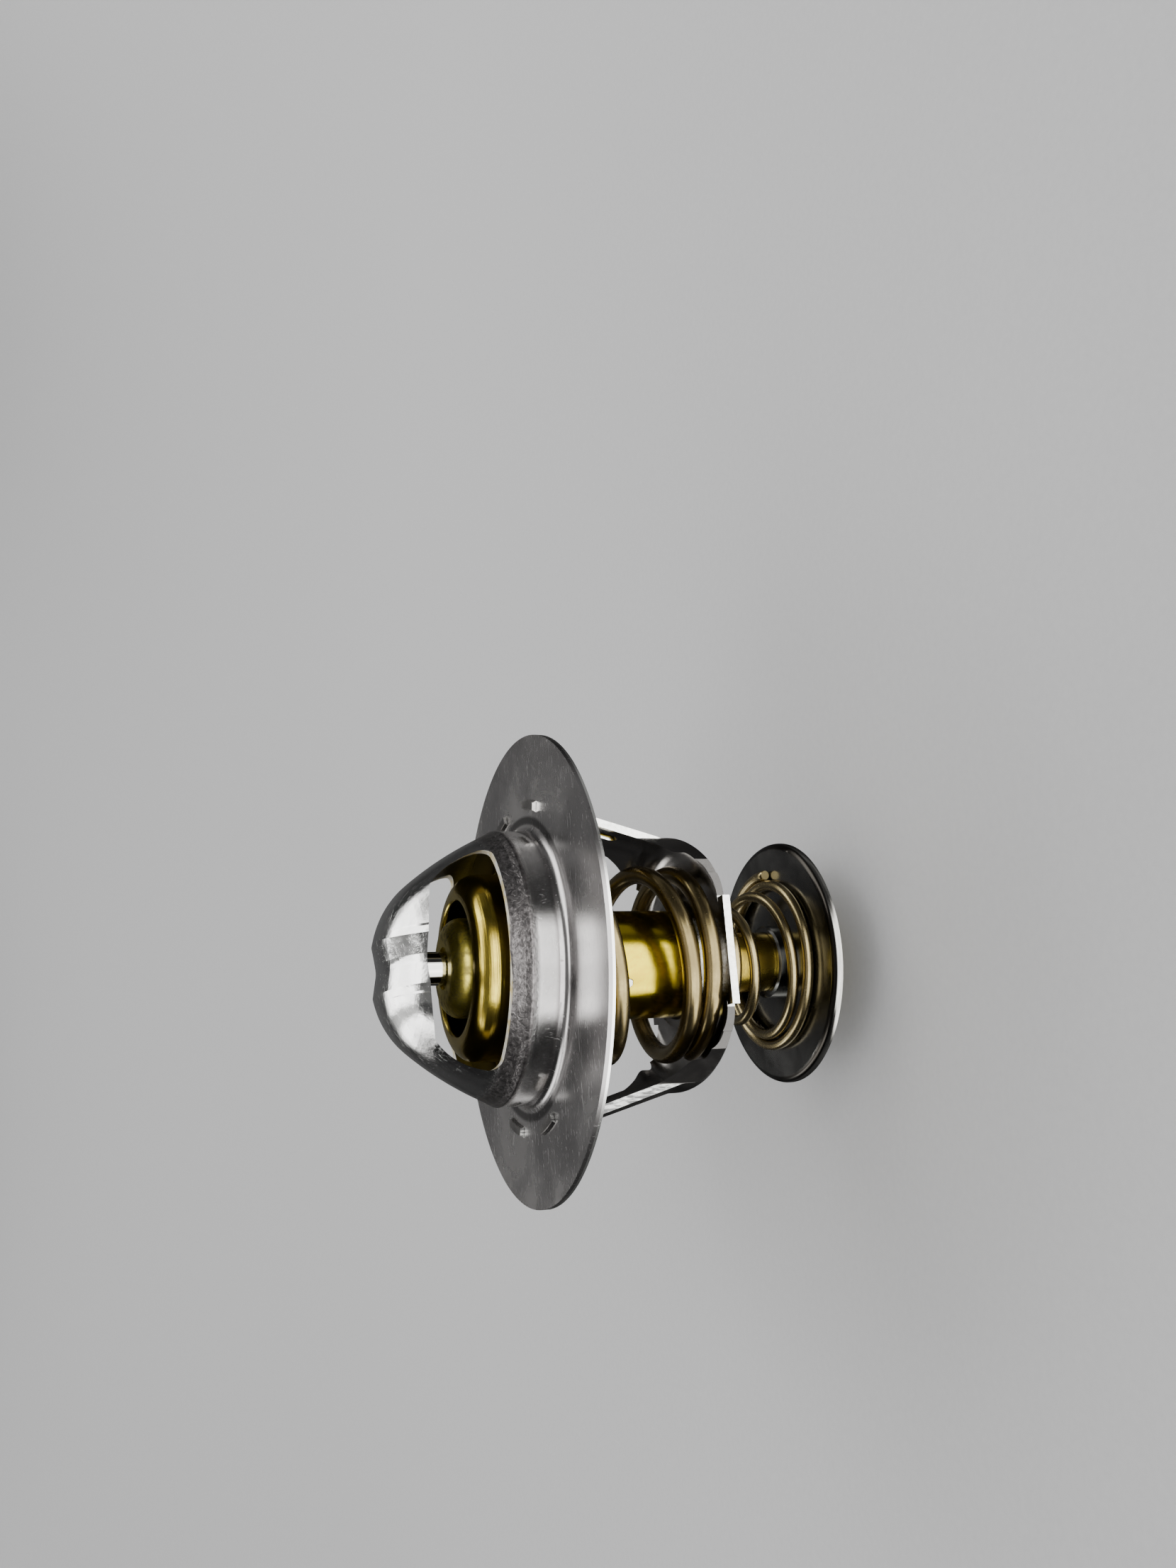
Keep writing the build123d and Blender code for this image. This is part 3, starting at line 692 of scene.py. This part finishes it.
BAND_FOOT = (-0.62, -0.42)
BAND_HEAD = (0.80, 0.60)
BAND_BACK = (0.0, 0.22)      # past the limit below
LIMIT_RIGHT = (-0.5, 0.5)    # the band's far limit moves with the direction's right part
LIMIT_BACK = (-0.55, -0.05)
FLANKS = ((0.15, 0.50), (-0.35, -0.60))
FLANK_DROP = 0.24            # how much lower the band's foot lies at its flanks
DARK_MARKS = (               # how much of the band's light each takes, and where it lies
    (0.93, (("right", (-0.72, -0.86)), ("up", (-0.21, -0.15)), ("up", (0.00, -0.04)))),
    (0.80, (("right", (-0.5, -0.7)), ("up", (-0.62, -0.55)), ("up", (-0.40, -0.47)))),
    (0.965, (("right", (-0.12, -0.26)), ("right", (-0.90, -0.80)), ("back", (0.30, 0.45)))),
)


def add_floor():
    """Pale seamless bowl: flat under the object and curving up all round, far away."""
    level = cad_bounds[0].z - FLOOR_DROP
    profile = [(0.0, 0.0), (FLOOR_FLAT, 0.0)]
    for index in range(1, FLOOR_BENDS + 1):
        angle = math.pi / 2 * index / FLOOR_BENDS
        profile.append((FLOOR_FLAT + (FLOOR_REACH - FLOOR_FLAT) * math.sin(angle),
                        FLOOR_RISE * (1 - math.cos(angle))))
    mesh = bmesh.new()
    middle = mesh.verts.new((0, 0, level))
    rows = []
    for radius, rise in profile[1:]:
        rows.append([mesh.verts.new((radius * math.cos(2 * math.pi * k / FLOOR_SIDES),
                                     radius * math.sin(2 * math.pi * k / FLOOR_SIDES),
                                     level + rise)) for k in range(FLOOR_SIDES)])
    for k in range(FLOOR_SIDES):
        after = (k + 1) % FLOOR_SIDES
        mesh.faces.new((middle, rows[0][k], rows[0][after]))
        for near, far in zip(rows, rows[1:]):
            mesh.faces.new((near[k], far[k], far[after], near[after]))
    for face in mesh.faces:
        face.smooth = True
    data = bpy.data.meshes.new("studio_floor")
    mesh.to_mesh(data)
    mesh.free()
    floor = bpy.data.objects.new("studio_floor", data)
    bpy.context.scene.collection.objects.link(floor)
    floor.visible_glossy = False
    floor.visible_shadow = False
    material, tree, shader = new_material("floor_paint", 0.0)
    grain = noise(tree, place(tree), 900, 4, 0.6)
    feed(tree, shader.inputs["Base Color"], mix(tree, grain, *FLOOR_TINTS))
    shader.inputs["Roughness"].default_value = 0.9
    shader.inputs["Specular IOR Level"].default_value = 0.1
    data.materials.append(material)


def part_along(tree, direction, axis):
    """A direction's part along an axis."""
    node = tree.nodes.new("ShaderNodeVectorMath")
    node.operation = "DOT_PRODUCT"
    feed(tree, node.inputs[0], direction)
    node.inputs[1].default_value = axis
    return node.outputs["Value"]


def add_world():
    """What the metal mirrors, fixed to the model: a long softbox that passes overhead from
    the photographer's side, with dark marks in it, dark walls, a dull strip and the ground."""
    world = bpy.data.worlds.new("studio_world")
    bpy.context.scene.world = world
    world.use_nodes = True
    world.cycles_visibility.diffuse = False
    tree = world.node_tree
    direction = tree.nodes.new("ShaderNodeTexCoord").outputs["Generated"]
    parts = {
        "right": part_along(tree, direction, CAMERA_RIGHT),
        "up": part_along(tree, direction, CAMERA_UP),
        "back": part_along(tree, direction, CAMERA_BACK),
    }
    height = parts_of(tree, direction)[2]

    def region(fades):
        return faded(tree, *((parts[name], ends) for name, ends in fades))

    mottling = noise(tree, direction, 1.3, 2, 0.5)
    wall = mix(tree, step(tree, mottling, 0.35, 0.65), WALL_DARK, WALL_PALE)
    towards = part_along(tree, direction, BEYOND_CENTRE)
    light = mix(tree, step(tree, towards, *BEYOND_FADE), wall, BEYOND)
    light = mix(tree, step(tree, height, *GROUND_FADE), light, GROUND)
    light = mix(tree, region(STRIP_FADES), light, SIDE_STRIP)

    limit = step(tree, parts["right"], *LIMIT_RIGHT, *LIMIT_BACK)
    flank = calc(tree, "MAXIMUM", *(step(tree, parts["right"], *ends) for ends in FLANKS))
    foot = calc(tree, "MULTIPLY_ADD", flank, FLANK_DROP, parts["up"])
    kept = [calc(tree, "MULTIPLY_ADD", region(fades), -share, 1.0) for share, fades in DARK_MARKS]
    band = both(tree, step(tree, foot, *BAND_FOOT), step(tree, parts["up"], *BAND_HEAD), *kept,
                step(tree, calc(tree, "SUBTRACT", parts["back"], limit), *BAND_BACK))
    clouded = step(tree, noise(tree, direction, 2.4, 3, 0.6), 0.25, 0.75, 0.60, 1.0)
    light = mix(tree, calc(tree, "MULTIPLY", band, clouded), light, BAND)
    feed(tree, tree.nodes["Background"].inputs["Color"], light)
    tree.nodes["Background"].inputs["Strength"].default_value = 1.0


def add_lights():
    """Square softboxes that face the object and light what isn't metal."""
    for name, direction, power in LIGHTS:
        data = bpy.data.lights.new(name, "AREA")
        data.shape = "RECTANGLE"
        data.size = LIGHT_SIZE
        data.size_y = LIGHT_SIZE
        data.energy = power
        light = bpy.data.objects.new(name, data)
        bpy.context.scene.collection.objects.link(light)
        light.location = LIGHT_TARGET + direction.normalized() * LIGHT_DISTANCE
        light.rotation_mode = "QUATERNION"
        light.rotation_quaternion = direction.to_track_quat("Z", "Y")
        light.visible_camera = False
        light.visible_glossy = False


# ---------------------------------------------------------------- build

add_camera()
dress_nodes()
add_springs()
add_floor()
add_world()
add_lights()
